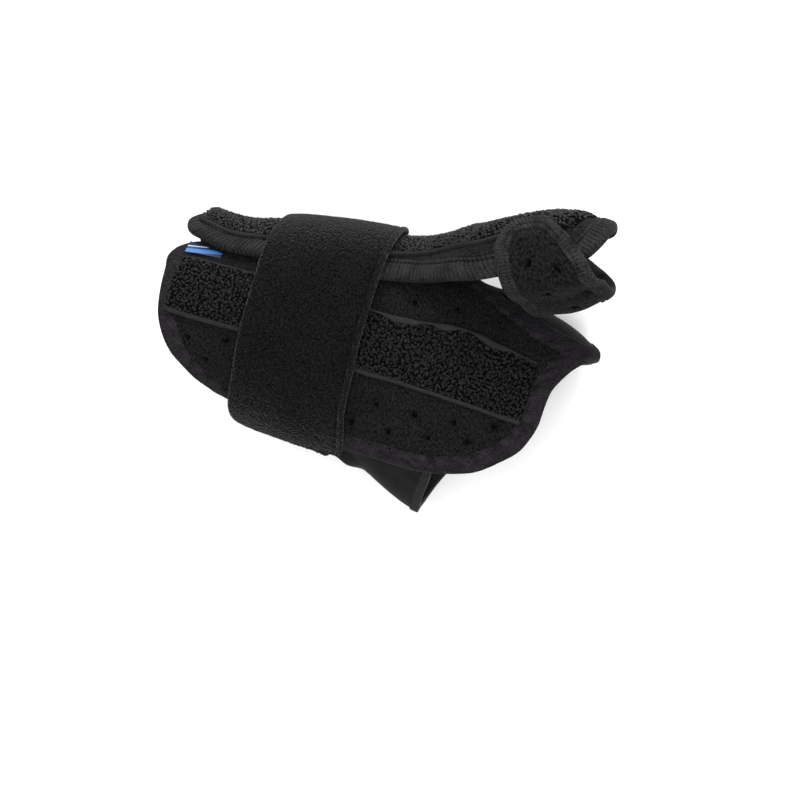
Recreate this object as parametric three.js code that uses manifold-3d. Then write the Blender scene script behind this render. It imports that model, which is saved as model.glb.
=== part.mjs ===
// Thumb spica splint for a left hand, worn position, lying palm up: X to the fingers, Y to the thumb, Z to the palm side.
// Every cloth piece is a patch of a flat pattern (x, w) laid on one of two forms: the forearm and hand, or the thumb.
import * as THREE from "three";
import { mergeVertices } from "three/addons/utils/BufferGeometryUtils.js";
import Module from "manifold-3d";

const wasm = await Module();
wasm.setup();

// Driving dimensions, mm.
const REST_LIFT = 3.1; // back of the hand above the resting face
const CHART_RADIUS = 4; // pattern widths are true at this distance from the skin
const AIR = 0.3; // between two layers
const EDGE_AIR = 0.9; // between a panel and its binding, measured along the cloth
const DORSAL_THICK = 2.8;
const VOLAR_THICK = 3.5;
const RADIAL_THICK = 4.3;
const LOOP_THICK = 1.7;
const STRAP_THICK = 2.4;
const THUMB_STRAP_THICK = 3.5;
const VOLAR_BINDING = 8;
const RADIAL_BINDING = 7.8;
const THUMB_BINDING = 5.4;
const HEM_WIDTH = 2.6;
const VENT_RADIUS = 1.4;
const STAY_BULGE = 1; // the loop tape's crown over its stay pocket
const LAP_LIFT = DORSAL_THICK + AIR; // rise of the volar panel where it covers the dorsal one
const RADIAL_BASE = AIR + VOLAR_THICK + 0.1; // level that the radial panel lies on along the arm
const WRIST_BULGE = 4.4; // the dorsal panel stands off the ulnar side of the wrist

// Forearm and hand: station x, radial reach y, ulnar reach y, corner radius, height.
const LIMB = [
  [-70, 27, -38, 20.5, 47],
  [-40, 27.5, -36.5, 20, 46],
  [-20, 33, -36.5, 19.5, 45],
  [0, 37, -38.5, 19, 43.5],
  [22, 39.5, -40, 18, 42.5],
  [38, 41, -47.5, 17, 41],
  [60, 40.5, -57, 15.5, 38.5],
  [80, 36.5, -57.5, 14.5, 35.5],
  [95, 33, -56, 14, 33.5],
  [108, 28.8, -56, 13.5, 32],
  [124, 20, -56, 13, 31],
];
// Thumb and its base: station x, centre y, centre z, radius.
const THUMB = [
  [0, 22, 22, 16.5],
  [20, 30, 26, 16.5],
  [45, 36.6, 31, 16.5],
  [65, 42.6, 36.5, 16.5],
  [87, 53.8, 43, 16.6],
  [98, 58.3, 45.8, 16.2],
  [108, 62.9, 48.6, 13.6],
  [116, 66, 50.6, 10.6],
  [125, 68.5, 52.6, 8.5],
];
const THUMB_LEAVES = [22, 66]; // the radial panel passes from the arm's form to the thumb's between these x

// Outlines in the flat patterns, x and w.
const VOLAR_OUTLINE = [
  [-64, 24], [-63, 18], [-61.8, 8], [-60, -2], [-57, -9.5], [-52.5, -17], [-46, -24], [-37, -32.5], [-25, -40.5],
  [-8, -43.5], [10, -44], [27, -42], [36, -39], [49, -35], [61, -32], [73, -28], [84, -23], [93, -16],
  [99, -9], [102, -2], [103.7, 5], [104, 13], [105, 21], [108, 27.5], [112, 34], [115.8, 38.6], [118.4, 41.6],
  [115.5, 43.6], [110, 44], [103, 43], [94, 43.2], [87, 45], [82, 47.2], [75, 50.3], [69, 54.5], [60, 57.5],
  [48, 55], [38, 52], [20, 50], [0, 48], [-25, 46], [-45, 41], [-56, 35], [-61.5, 30],
];
const VOLAR_CORNERS = [[-64, 24], [-46, -24], [99, -9], [118.4, 41.6]];
const DORSAL_ULNAR = [[-62, -80], [-40, -79], [-22, -77], [-16, -60], [-11, -41], [0, -38], [26, -37], [46, -28.5],
  [63.5, -25.5]];
const DORSAL_DISTAL = [[63.5, -25.5], [62.8, -36], [61.6, -46], [61, -57], [60, -66], [63, -86], [77, -112]];
const DORSAL_DISTAL_REAR = [[96, 96], [109, 70], [115.3, 56], [113.5, 47], [107, 38.5]];
const DORSAL_REAR = [[-62, 58], [-30, 58], [0, 60], [25, 62], [40, 66], [55, 74], [70, 73], [80, 61], [88, 45],
  [96, 37], [107, 38.5]];
const RADIAL_OUTLINE = [
  [-61.5, 15], [-59, 19.5], [-50, 22.5], [-40, 24.5], [-25, 27.5], [0, 30], [23, 31], [40, 29.8], [57, 30],
  [73, 30.5], [90, 31], [99, 30.2], [105, 28], [109, 25], [111.3, 21.5], [113.6, 16.5], [115.2, 11], [115.9, 4],
  [115.4, -4], [113.2, -11.5], [108.5, -17], [101, -21], [92, -23], [80, -23.5], [60, -24], [40, -21], [20, -19.5],
  [0, -19.5], [-30, -19], [-50, -17], [-56, -12], [-58.5, -3], [-60, 8],
];
const RADIAL_CORNERS = [[-57, -10], [-60, 17.5], [110, 23.8], [110, -15.5]];
const THUMB_STRAP_OUTLINE = [
  [90.5, 13.8], [86, 14.3], [83, 16.5], [80.8, 20], [79.5, 24], [79, 28.5], [79.4, 34], [80.2, 40], [81, 48],
  [82.5, 56], [84, 66], [85, 78], [86, 91], [87, 101], [89, 105.5], [93, 104.5], [97.5, 98.5], [102, 90],
  [106.5, 80], [110, 70], [112.5, 60], [113.6, 50], [113.6, 41], [112.8, 34], [111.2, 28.5], [108.6, 23.2], [105, 18.9],
  [101, 16], [96, 14.2],
];
const THUMB_STRAP_CORNERS = [[79.4, 24.5], [88, 103], [108, 76], [106, 20]];

// Loop tapes and the wrist strap: station, first edge, second edge.
const VOLAR_LOOP = [[-57, 0.5, 24], [-52, 0, 25], [-37, -0.8, 24.5], [-27, -2, 23], [0, -4.5, 21], [26, -6, 20],
  [43, -2.5, 24], [58, 0.5, 29.5], [68, 1.5, 31], [79, 2, 30], [89, 2, 28.5], [96, 2.2, 28]];
const RADIAL_LOOP = [[-56, -8, 15], [-50, -8, 16], [-38, -7.5, 18], [-27, -7, 19.5], [24, -6.5, 19], [60, -6.5, 18],
  [76, -6.5, 17], [97, -7, 15.5], [104, -6.5, 14.5], [110, -5, 12]];
const ULNAR_LOOP = [[-33, -14.5, 20], [-50, -16, 20], [-64, -15, 19.5], [-78, -12, 18]];
const WRIST_STRAP = [[-41.8, -14, 22], [-40.5, -18, 27], [-38, -20.5, 28.6], [-32, -22, 28], [-22, -22, 26.2],
  [-7, -22.6, 25.8], [7, -23, 25], [19, -23.3, 25], [30, -24, 25], [40, -24, 25], [54, -22.6, 25.6],
  [65, -20, 25.4]];
// Wrist strap's inner level above the skin: w, level.
const WRIST_STRAP_LEVEL = [[-60, 9.6], [-34, 9.6], [-26, 8.7], [-16, 7.6], [8, 7.6], [16, 8.4], [25, 10.2],
  [33, 11.5], [40, 11.7], [90, 11.7]];
const LABEL = [[-57.5, 27, 33], [-50, 27.8, 32.2], [-42.5, 28.2, 30.6]];

// Vent holes in straight rows: first x, first w, step in x, step in w, how many.
const VOLAR_VENTS = [
  [38, -15, 16.3, 4.2, 4],
  [30, -27, 16, 4.9, 4],
  [41, 31.5, 17.3, 6.6, 2],
  [-45, -9, 16.3, 1.5, 5],
  [-36, -17.4, 16.3, 0.6, 4],
];
const THUMB_VENTS = [
  [90, 30, 10.5, 1.2, 2],
  [94.5, 42, 12, 0, 2],
  [100, 54, 11, 0, 1],
];

// The two forms.
// Value of each column at x on a smooth curve through the rows; slopes are those of the neighbours' chord.
function along(rows, x) {
  const last = rows.length - 1;
  const slope = (i, k) => {
    const a = rows[Math.max(i - 1, 0)];
    const b = rows[Math.min(i + 1, last)];
    return (b[k] - a[k]) / (b[0] - a[0]);
  };
  let i = 0;
  while (i < last - 1 && x > rows[i + 1][0]) i += 1;
  const h = rows[i + 1][0] - rows[i][0];
  const t = (x - rows[i][0]) / h;
  return rows[i].slice(1).map((value, n) => {
    const k = n + 1;
    return (
      value * (2 * t ** 3 - 3 * t * t + 1) +
      slope(i, k) * h * (t ** 3 - 2 * t * t + t) +
      rows[i + 1][k] * (3 * t * t - 2 * t ** 3) +
      slope(i + 1, k) * h * (t ** 3 - t * t)
    );
  });
}
const ramp = (t) => THREE.MathUtils.smoothstep(t, 0, 1);

// Cross-section of the limb at x: a wide arc over the palm side, two corner arcs and a flat rear side.
function section(x) {
  const [radial, ulnar, corner, height] = along(LIMB, x);
  const half = (radial - ulnar) / 2;
  const turn = 2 * Math.atan2(height - 2 * corner, half - corner);
  const crown = corner + (half - corner) / Math.sin(turn);
  return { centre: (radial + ulnar) / 2, half, corner, turn, crown };
}
// Pattern width from the middle of the palm side to the widest point, measured at a level.
function sideReach(x, level) {
  const s = section(x);
  return (s.crown + level) * s.turn + (s.corner + level) * (Math.PI / 2 - s.turn);
}
// Pattern width from the middle of the palm side to the middle of the rear side.
function halfRound(x) {
  const s = section(x);
  return (s.crown + CHART_RADIUS) * s.turn + (s.corner + CHART_RADIUS) * (Math.PI - s.turn) + s.half - s.corner;
}
// Pattern place of a point past the rear side that has width w counted from the thumb side.
const pastRear = ([x, w]) => [x, w - 2 * halfRound(x)];

// Point at width w round the limb and distance d outside the skin; the thumb side has w above zero.
function onLimb(x, width, d, level = CHART_RADIUS) {
  const s = section(x);
  const w = Math.abs(width) > halfRound(x) ? width - Math.sign(width) * 2 * halfRound(x) : width;
  const side = Math.sign(w) || 1;
  const onCrown = (s.crown + level) * s.turn;
  const onCorner = (s.corner + level) * (Math.PI - s.turn);
  const q = Math.abs(w);
  const rest = THREE.MathUtils.clamp(q - onCrown, 0, onCorner);
  const flat = Math.max(q - onCrown - onCorner, 0);
  const angle = q < onCrown ? q / (s.crown + level) : s.turn + rest / (s.corner + level);
  const z = REST_LIFT + s.corner;
  const centre =
    q < onCrown ? [0, z - (s.half - s.corner) / Math.tan(s.turn)] : [s.half - s.corner - flat, z];
  const reach = (q < onCrown ? s.crown : s.corner) + d;
  const y = s.centre + side * (centre[0] + reach * Math.sin(angle));
  return new THREE.Vector3(x, y, centre[1] + reach * Math.cos(angle));
}
// Point at width v round the thumb, counted from its outer side over the palm side.
function onThumb(x, v, d) {
  const [y, z, radius] = along(THUMB, x);
  const a = along(THUMB, x - 0.5);
  const b = along(THUMB, x + 0.5);
  const axis = new THREE.Vector3(1, b[0] - a[0], b[1] - a[1]).normalize();
  const outward = new THREE.Vector3(-axis.y, axis.x, 0).normalize();
  const up = new THREE.Vector3().crossVectors(axis, outward);
  const angle = v / (radius + CHART_RADIUS);
  return new THREE.Vector3(x, y, z)
    .addScaledVector(outward, (radius + d) * Math.cos(angle))
    .addScaledVector(up, (radius + d) * Math.sin(angle));
}
// The radial panel's form: the arm's thumb side, passing into the thumb; its near end stands off the arm.
function onRadial(x, v, d) {
  const level = CHART_RADIUS + RADIAL_BASE;
  const base = RADIAL_BASE + 3 * ramp((-42 - x) / 20);
  const arm = onLimb(x, sideReach(x, level) - v, d + base, level);
  const [from, to] = THUMB_LEAVES;
  return arm.lerp(onThumb(x, v, d), ramp((x - from) / (to - from)));
}

// Share of the lap lift at a place of the volar panel: over the dorsal panel's two tucked-in edges.
function lap(x, w) {
  const ulnarStart = 24 - 10 * ramp((x - 20) / 30);
  const ulnar = ramp((-w - ulnarStart) / 9) * ramp((x + 26) / 10);
  const web = 1.15 * ramp((w - 22) / 9) * ramp((x - 76) / 9);
  return Math.max(ulnar, web);
}
// Share of the bulge of the dorsal panel at the ulnar side of the wrist.
const bulge = (x, w) =>
  ramp((-w - 46) / 6) * ramp((84 + w) / 20) * ramp((x + 28) / 8) * ramp((38 - x) / 10);

const dorsalLevel = (x, w) => AIR + WRIST_BULGE * bulge(x, w);
const volarLevel = (x, w) => AIR + LAP_LIFT * lap(x, w);
const volarTop = (x, w) => volarLevel(x, w) + VOLAR_THICK;
const ulnarLoopLevel = (x, w) =>
  THREE.MathUtils.lerp(
    volarTop(x, w) + 2 * AIR,
    dorsalLevel(x, w) + DORSAL_THICK + 3 * AIR,
    ramp((-w - 45) / 6),
  );
// The thumb strap passes over the radial panel's two edges and over its loop tape, and dips between them.
function thumbStrapLevel(x, v) {
  const turn = v / (along(THUMB, x)[2] + CHART_RADIUS);
  const lifted = Math.max(ramp((2.33 - turn) / 0.58), ramp((turn - 4.3) / 0.5));
  return 6.7 * lifted - 1.2 + 2.2 * ramp((1.41 - turn) / 0.39);
}

// Curves and grids in the flat patterns.
// Points at equal steps on a smooth curve through the rows.
function curve(rows, steps, closed = false) {
  const path = new THREE.CatmullRomCurve3(
    rows.map(([x, w]) => new THREE.Vector3(x, w, 0)),
    closed,
    "centripetal",
  );
  return path.getSpacedPoints(steps).map((p) => [p.x, p.y]);
}
// A closed outline as dense points, and the same moved inwards by a distance, or by a share of it that depends on x.
// The parts that then lie nearer than that are left out.
function outline(rows) {
  return curve(rows, 320, true).slice(0, -1);
}
function inset(points, distance, share = () => 1) {
  const n = points.length;
  const area = points.reduce((sum, [x, w], i) => {
    const [nx, nw] = points[(i + 1) % n];
    return sum + x * nw - nx * w;
  }, 0);
  const inward = Math.sign(area);
  const moved = points.map(([x, w], i) => {
    const a = points[(i - 3 + n) % n];
    const b = points[(i + 3) % n];
    const length = Math.hypot(b[0] - a[0], b[1] - a[1]);
    const move = (inward * distance * share(x)) / length;
    return [x - (b[1] - a[1]) * move, w + (b[0] - a[0]) * move];
  });
  return moved.filter(([x, w]) => points.every(([a, b]) => Math.hypot(a - x, b - w) > 0.93 * distance * share(x) - 0.01));
}
// The four sides of a closed outline between its corners, each from corner to corner.
function sides(points, corners) {
  const nearest = ([x, w]) => {
    const away = points.map((p) => Math.hypot(p[0] - x, p[1] - w));
    return away.indexOf(Math.min(...away));
  };
  const at = corners.map(nearest);
  return at.map((from, k) => {
    const span = (at[(k + 1) % 4] - from + points.length) % points.length;
    return Array.from({ length: span + 1 }, (_, i) => points[(from + i) % points.length]);
  });
}
// A side's points again, at equal steps.
function resample(points, steps) {
  const run = [0];
  for (let i = 1; i < points.length; i += 1) {
    run.push(run[i - 1] + Math.hypot(points[i][0] - points[i - 1][0], points[i][1] - points[i - 1][1]));
  }
  return Array.from({ length: steps + 1 }, (_, n) => {
    const target = (run[run.length - 1] * n) / steps;
    let i = 1;
    while (i < run.length - 1 && run[i] < target) i += 1;
    const t = (target - run[i - 1]) / (run[i] - run[i - 1]);
    return points[i].map((value, k) => points[i - 1][k] + t * (value - points[i - 1][k]));
  });
}
// A closed outline's points again, the same number on each side from corner to corner.
const ring = (points, corners, steps) => sides(points, corners).flatMap((side, k) => resample(side, steps[k]).slice(0, -1));
// Grid over the area between four edges: low and high run alike, start joins their first points, end their last.
function between(low, high, start, end, columns, rows) {
  const edge = { low: resample(low, columns), high: resample(high, columns) };
  const ends = { start: resample(start, rows), end: resample(end, rows) };
  return edge.low.map((_, i) =>
    ends.start.map((__, j) => {
      const s = i / columns;
      const t = j / rows;
      return [0, 1].map(
        (k) =>
          (1 - t) * edge.low[i][k] +
          t * edge.high[i][k] +
          (1 - s) * ends.start[j][k] +
          s * ends.end[j][k] -
          (1 - s) * (1 - t) * edge.low[0][k] -
          s * (1 - t) * edge.low[columns][k] -
          (1 - s) * t * edge.high[0][k] -
          s * t * edge.high[columns][k],
      );
    }),
  );
}
// Grid inside an outline given by its four sides in turn.
function inside([a, b, c, d], columns, rows) {
  return between(b, [...d].reverse(), [...a].reverse(), c, columns, rows);
}

// Solids.
// Closed geometry from a lattice of points; a wrapped direction joins its last line to its first.
function closed(points, faces) {
  const position = new Float32Array(points.flatMap((p) => [p.x, p.y, p.z]));
  let volume = 0;
  faces.forEach(([a, b, c]) => {
    volume += points[a].dot(new THREE.Vector3().crossVectors(points[b], points[c]));
  });
  const index = faces.flatMap(([a, b, c]) => (volume > 0 ? [a, b, c] : [a, c, b]));
  const geometry = new THREE.BufferGeometry();
  geometry.setAttribute("position", new THREE.BufferAttribute(position, 3));
  geometry.setIndex(index);
  return geometry;
}
const quad = (a, b, c, d) => [[a, b, c], [a, c, d]];

// Cloth over a grid of pattern places, from an inner level to an outer one.
function cloth(grid, form, inner, outer) {
  const columns = grid.length;
  const rows = grid[0].length;
  const points = [inner, outer].flatMap((level) =>
    grid.flatMap((line) => line.map(([x, w]) => form(x, w, level(x, w)))),
  );
  const at = (side, i, j) => side * columns * rows + i * rows + j;
  const faces = [];
  for (let i = 0; i < columns - 1; i += 1) {
    for (let j = 0; j < rows - 1; j += 1) {
      faces.push(...quad(at(0, i, j), at(0, i, j + 1), at(0, i + 1, j + 1), at(0, i + 1, j)));
      faces.push(...quad(at(1, i, j), at(1, i + 1, j), at(1, i + 1, j + 1), at(1, i, j + 1)));
    }
  }
  for (let i = 0; i < columns - 1; i += 1) {
    faces.push(...quad(at(0, i, 0), at(0, i + 1, 0), at(1, i + 1, 0), at(1, i, 0)));
    faces.push(
      ...quad(at(0, i, rows - 1), at(1, i, rows - 1), at(1, i + 1, rows - 1), at(0, i + 1, rows - 1)),
    );
  }
  for (let j = 0; j < rows - 1; j += 1) {
    faces.push(...quad(at(0, 0, j), at(1, 0, j), at(1, 0, j + 1), at(0, 0, j + 1)));
    faces.push(
      ...quad(
        at(0, columns - 1, j),
        at(0, columns - 1, j + 1),
        at(1, columns - 1, j + 1),
        at(1, columns - 1, j),
      ),
    );
  }
  return closed(points, faces);
}
// Binding: a closed bead between an outline and the same moved inwards, its outer corners eased.
function binding(points, corners, width, form, inner, outer, total, share) {
  const easing = [
    [0.1, 0],
    [0.55, 0],
    [1, 0],
    [1, 0.9],
    [0.8, 1],
    [0.15, 1],
    [0, 0.55],
  ];
  const edges = sides(points, corners);
  const steps = edges.map((side) => Math.round((total * side.length) / points.length));
  const count = steps.reduce((sum, n) => sum + n, 0);
  const lines = easing.map(([across, height]) =>
    ring(inset(points, across * width, share), corners, steps).map(([x, w]) =>
      form(x, w, THREE.MathUtils.lerp(inner(x, w), outer(x, w), height)),
    ),
  );
  const m = lines.length;
  const vertices = [];
  for (let i = 0; i < count; i += 1) lines.forEach((line) => vertices.push(line[i]));
  const at = (i, k) => (i % count) * m + (k % m);
  const faces = [];
  for (let i = 0; i < count; i += 1) {
    for (let k = 0; k < m; k += 1) {
      faces.push(...quad(at(i, k), at(i + 1, k), at(i + 1, k + 1), at(i, k + 1)));
    }
  }
  return closed(vertices, faces);
}
// Grid of a tape from rows of station, first edge, second edge; across says the stations run along w.
function tape(rows, columns, count, across = false) {
  const first = rows[0][0];
  const last = rows[rows.length - 1][0];
  return Array.from({ length: columns + 1 }, (_, i) => {
    const station = first + ((last - first) * i) / columns;
    const turned = first > last ? rows.map(([s, ...rest]) => [-s, ...rest]) : rows;
    const [a, b] = along(turned, first > last ? -station : station);
    return Array.from({ length: count + 1 }, (__, j) => {
      const edge = a + ((b - a) * j) / count;
      return across ? [edge, station] : [station, edge];
    });
  });
}

// Manifold-3d form of a closed geometry, and back.
function toManifold(geometry) {
  const plain = geometry.clone();
  plain.deleteAttribute("normal");
  plain.deleteAttribute("uv");
  const merged = mergeVertices(plain, 1e-4);
  return new wasm.Manifold(
    new wasm.Mesh({
      numProp: 3,
      vertProperties: merged.attributes.position.array,
      triVerts: new Uint32Array(merged.index.array),
    }),
  );
}
function fromManifold(manifold) {
  const mesh = manifold.getMesh();
  const geometry = new THREE.BufferGeometry();
  geometry.setAttribute("position", new THREE.BufferAttribute(Float32Array.from(mesh.vertProperties), 3));
  geometry.setIndex(Array.from(mesh.triVerts));
  return geometry;
}
// Six-sided vent holes through a piece, square to its surface.
function vented(geometry, rows, form, level, thick) {
  let body = toManifold(geometry);
  rows.forEach(([x0, w0, dx, dw, count]) => {
    for (let n = 0; n < count; n += 1) {
      const x = x0 + n * dx;
      const w = w0 + n * dw;
      const around = Array.from({ length: 6 }, (_, k) => [
        x + VENT_RADIUS * Math.cos((k * Math.PI) / 3),
        w + VENT_RADIUS * Math.sin((k * Math.PI) / 3),
      ]);
      const low = level(x, w) - 1;
      const high = level(x, w) + thick + 1;
      const points = [low, high].flatMap((d) => around.map(([a, b]) => form(a, b, d)));
      const faces = [];
      for (let k = 0; k < 6; k += 1) {
        faces.push(...quad(k, (k + 1) % 6, 6 + ((k + 1) % 6), 6 + k));
      }
      for (let k = 1; k < 5; k += 1) {
        faces.push([0, k + 1, k], [6, 6 + k, 7 + k]);
      }
      body = body.subtract(toManifold(closed(points, faces)));
    }
  });
  return fromManifold(body);
}

const root = new THREE.Group();
root.name = "thumb_spica_splint";
function piece(name, geometry, color, roughness = 0.95) {
  const material = new THREE.MeshStandardMaterial({ color, roughness, metalness: 0 });
  const mesh = new THREE.Mesh(geometry, material);
  mesh.name = name;
  root.add(mesh);
}
const raise = (level, by) => (x, w) => level(x, w) + by;
const flat = (d) => () => d;

// Volar panel, its binding and the loop tape over its stay pocket.
const volarEdge = outline(VOLAR_OUTLINE);
const volarFace = sides(inset(volarEdge, VOLAR_BINDING + EDGE_AIR), VOLAR_CORNERS);
piece(
  "volar_panel",
  vented(
    cloth(inside(volarFace, 24, 10), onLimb, volarLevel, volarTop),
    VOLAR_VENTS,
    onLimb,
    volarLevel,
    VOLAR_THICK,
  ),
  "#2a2a2c",
);
piece("volar_binding", binding(volarEdge, VOLAR_CORNERS, VOLAR_BINDING, onLimb, volarLevel, volarTop, 80), "#2c292d");
const crowned = (x, w) => {
  const [a, b] = along(VOLAR_LOOP, x);
  const across = (w - a) / (b - a);
  return volarTop(x, w) + 2 * AIR + LOOP_THICK + STAY_BULGE * 4 * Math.max(across * (1 - across), 0);
};
piece("volar_loop_strip", cloth(tape(VOLAR_LOOP, 20, 5), onLimb, raise(volarTop, 3 * AIR), crowned), "#232324", 1);
piece("label", cloth(tape(LABEL, 3, 2), onLimb, raise(volarTop, 0.2), raise(volarTop, 0.7)), "#1f3f7a", 0.7);

// Dorsal panel, which the splint lies on, and its overlocked hem.
const dorsalDistal = [...DORSAL_DISTAL, ...DORSAL_DISTAL_REAR.map(pastRear)];
const dorsalRear = DORSAL_REAR.map(pastRear);
const dorsalNear = [DORSAL_ULNAR[0], [-62, -110], dorsalRear[0]];
piece(
  "dorsal_panel",
  cloth(
    between(
      curve(DORSAL_ULNAR, 90),
      curve(dorsalRear, 90),
      curve(dorsalNear, 40),
      curve(dorsalDistal, 90),
      22,
      24,
    ),
    onLimb,
    dorsalLevel,
    raise(dorsalLevel, DORSAL_THICK),
  ),
  "#252527",
  0.8,
);
const hemInner = curve(dorsalDistal, 90).map(([x, w]) => [x + 2 * AIR, w]);
const hemOuter = hemInner.map(([x, w]) => [x + HEM_WIDTH, w]);
const acrossHem = (side) => [hemInner.at(side), hemOuter.at(side)];
piece(
  "dorsal_hem",
  cloth(
    between(hemInner, hemOuter, acrossHem(0), acrossHem(-1), 30, 1),
    onLimb,
    dorsalLevel,
    raise(dorsalLevel, DORSAL_THICK),
  ),
  "#1d1d1f",
);

// Radial panel with its rib-knit binding and loop tape.
const radialEdge = outline(RADIAL_OUTLINE);
const narrowed = (x) => 1 - 0.3 * ramp((x - 95) / 12);
const radialFace = sides(inset(radialEdge, RADIAL_BINDING + EDGE_AIR, narrowed), RADIAL_CORNERS);
const radialTop = AIR + RADIAL_THICK;
piece(
  "radial_panel",
  cloth(inside(radialFace, 26, 8), onRadial, flat(AIR), flat(radialTop)),
  "#262628",
);
piece(
  "radial_binding",
  binding(radialEdge, RADIAL_CORNERS, RADIAL_BINDING, onRadial, flat(AIR), flat(radialTop + 0.5), 68, narrowed),
  "#2b2b2d",
);
piece(
  "radial_loop_strip",
  cloth(tape(RADIAL_LOOP, 24, 4), onRadial, flat(radialTop + AIR + 0.5), flat(radialTop + AIR + 0.5 + LOOP_THICK)),
  "#232324",
  1,
);

// Thumb strap and its folded binding.
const thumbEdge = outline(THUMB_STRAP_OUTLINE);
const thumbFace = sides(inset(thumbEdge, THUMB_BINDING + EDGE_AIR), THUMB_STRAP_CORNERS);
piece(
  "thumb_strap",
  vented(
    cloth(inside(thumbFace, 6, 20), onThumb, thumbStrapLevel, raise(thumbStrapLevel, THUMB_STRAP_THICK)),
    THUMB_VENTS,
    onThumb,
    thumbStrapLevel,
    THUMB_STRAP_THICK,
  ),
  "#29292b",
);
piece(
  "thumb_strap_binding",
  binding(
    thumbEdge,
    THUMB_STRAP_CORNERS,
    THUMB_BINDING,
    onThumb,
    thumbStrapLevel,
    raise(thumbStrapLevel, THUMB_STRAP_THICK),
    56,
  ),
  "#2e2c30",
);

// Wrist strap and the loop tape that its free end closes on.
piece(
  "ulnar_loop_strip",
  cloth(tape(ULNAR_LOOP, 9, 6, true), onLimb, ulnarLoopLevel, raise(ulnarLoopLevel, LOOP_THICK)),
  "#232324",
  1,
);
const strapLevel = (x, w) => along(WRIST_STRAP_LEVEL, w)[0];
piece(
  "wrist_strap",
  cloth(tape(WRIST_STRAP, 26, 6, true), onLimb, strapLevel, raise(strapLevel, STRAP_THICK)),
  "#29292b",
);

export default root;
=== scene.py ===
"""Looks of the thumb spica splint. Every cloth piece is a patch of a flat pattern, x along the hand and
w round it, in mm, laid on one of two forms: the forearm and hand, or the thumb."""

import bpy
import numpy as np
from mathutils import Matrix, Vector


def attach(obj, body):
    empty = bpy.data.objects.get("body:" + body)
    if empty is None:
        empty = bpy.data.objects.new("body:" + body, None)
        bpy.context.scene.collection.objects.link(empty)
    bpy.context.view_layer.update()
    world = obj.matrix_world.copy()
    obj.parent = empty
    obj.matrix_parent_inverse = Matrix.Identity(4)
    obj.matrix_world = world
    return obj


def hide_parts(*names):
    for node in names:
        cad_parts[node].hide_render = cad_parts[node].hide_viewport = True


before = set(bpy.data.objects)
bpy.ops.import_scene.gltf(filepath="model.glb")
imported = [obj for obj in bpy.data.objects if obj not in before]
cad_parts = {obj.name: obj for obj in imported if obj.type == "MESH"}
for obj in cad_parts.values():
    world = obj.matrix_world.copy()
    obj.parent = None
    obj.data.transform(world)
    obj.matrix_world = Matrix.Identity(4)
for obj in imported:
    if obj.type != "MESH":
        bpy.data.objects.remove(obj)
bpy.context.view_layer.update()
rng = np.random.default_rng(7)

# Driving dimensions, mm.
REST_LIFT = 3.1
CHART_RADIUS = 4.0
AIR = 0.3
EDGE_AIR = -0.3
DORSAL_THICK = 2.8
VOLAR_THICK = 3.5
RADIAL_THICK = 4.3
LOOP_THICK = 1.0
STRAP_THICK = 2.4
THUMB_STRAP_THICK = 3.5
VOLAR_BINDING = 8.0
RADIAL_BINDING = 10.0
THUMB_BINDING = 5.4
HEM_WIDTH = 2.6
VENT_RADIUS = 1.15
VENT_FLOOR_RADIUS = VENT_RADIUS - 0.15
VENT_SINK = 0.9
LINING = 0.5
LAP_LIFT = DORSAL_THICK + AIR
RADIAL_BASE = AIR + VOLAR_THICK + 0.1
WRIST_BULGE = 4.4
# Rings of grid places inside a vent, and rings outside it over which the grid fades back.
HOLE_RINGS = 2
FADE_RINGS = 4
# Painted shade of a vent's funnel, shade of a piece's inner face, and the darkest shade of an edge.
VENT_SHADE = 0.6
INNER_SHADE = 0.3
EDGE_SHADE = -0.2

# Forearm and hand: station x, radial reach, ulnar reach, corner radius, height.
LIMB = [
    (-70, 27, -38, 20.5, 47),
    (-40, 27.5, -36.5, 20, 46),
    (-20, 33, -36.5, 19.5, 45),
    (0, 37, -38.5, 19, 43.5),
    (22, 39.5, -40, 18, 42.5),
    (38, 41, -47.5, 17, 41),
    (60, 40.5, -57, 15.5, 38.5),
    (80, 36.5, -57.5, 14.5, 35.5),
    (95, 33, -56, 14, 33.5),
    (108, 28.8, -56, 13.5, 32),
    (124, 20, -56, 13, 31),
]
# Thumb and its base: station x, centre y, centre z, radius.
THUMB = [
    (0, 22, 22, 16.5),
    (20, 30, 26, 16.5),
    (45, 36.6, 31, 16.5),
    (65, 42.6, 36.5, 16.5),
    (87, 53.8, 43, 16.6),
    (98, 58.3, 45.8, 16.2),
    (108, 62.9, 48.6, 13.6),
    (116, 66, 50.6, 10.6),
    (125, 68.5, 52.6, 8.5),
]
THUMB_LEAVES = (22, 66)

# Outlines in the flat patterns, x and w in mm.
VOLAR_OUTLINE = [
    (-64, 24), (-63, 18), (-61.8, 8), (-60, -2), (-57, -9.5), (-52.5, -17), (-46, -24), (-37, -32.5),
    (-25, -40.5), (-8, -43.5), (10, -44), (27, -42), (36, -39), (49, -35), (61, -32), (73, -28), (84, -23),
    (93, -16), (99, -9), (102, -2), (103.7, 5), (104, 13), (105, 21), (108, 27.5), (112, 34), (115.8, 38.6),
    (118.4, 41.6), (115.5, 43.6), (110, 44), (103, 43.6), (94, 44.6), (87, 47), (82, 49.6), (75, 52.6),
    (69, 55.5), (60, 57.5), (48, 55), (38, 52), (20, 50), (0, 48), (-25, 46), (-45, 41), (-56, 35),
    (-61.5, 30),
]
VOLAR_CORNERS = [(-64, 24), (-46, -24), (99, -9), (118.4, 41.6)]
DORSAL_ULNAR = [
    (-62, -80), (-40, -79), (-22, -77), (-16, -60), (-11, -41), (0, -38), (26, -37), (46, -28.5),
    (63.5, -25.5),
]
DORSAL_DISTAL = [
    (63.5, -25.5), (62.8, -36), (61.6, -46), (61, -57), (60, -66), (63, -86), (77, -112),
]
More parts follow.
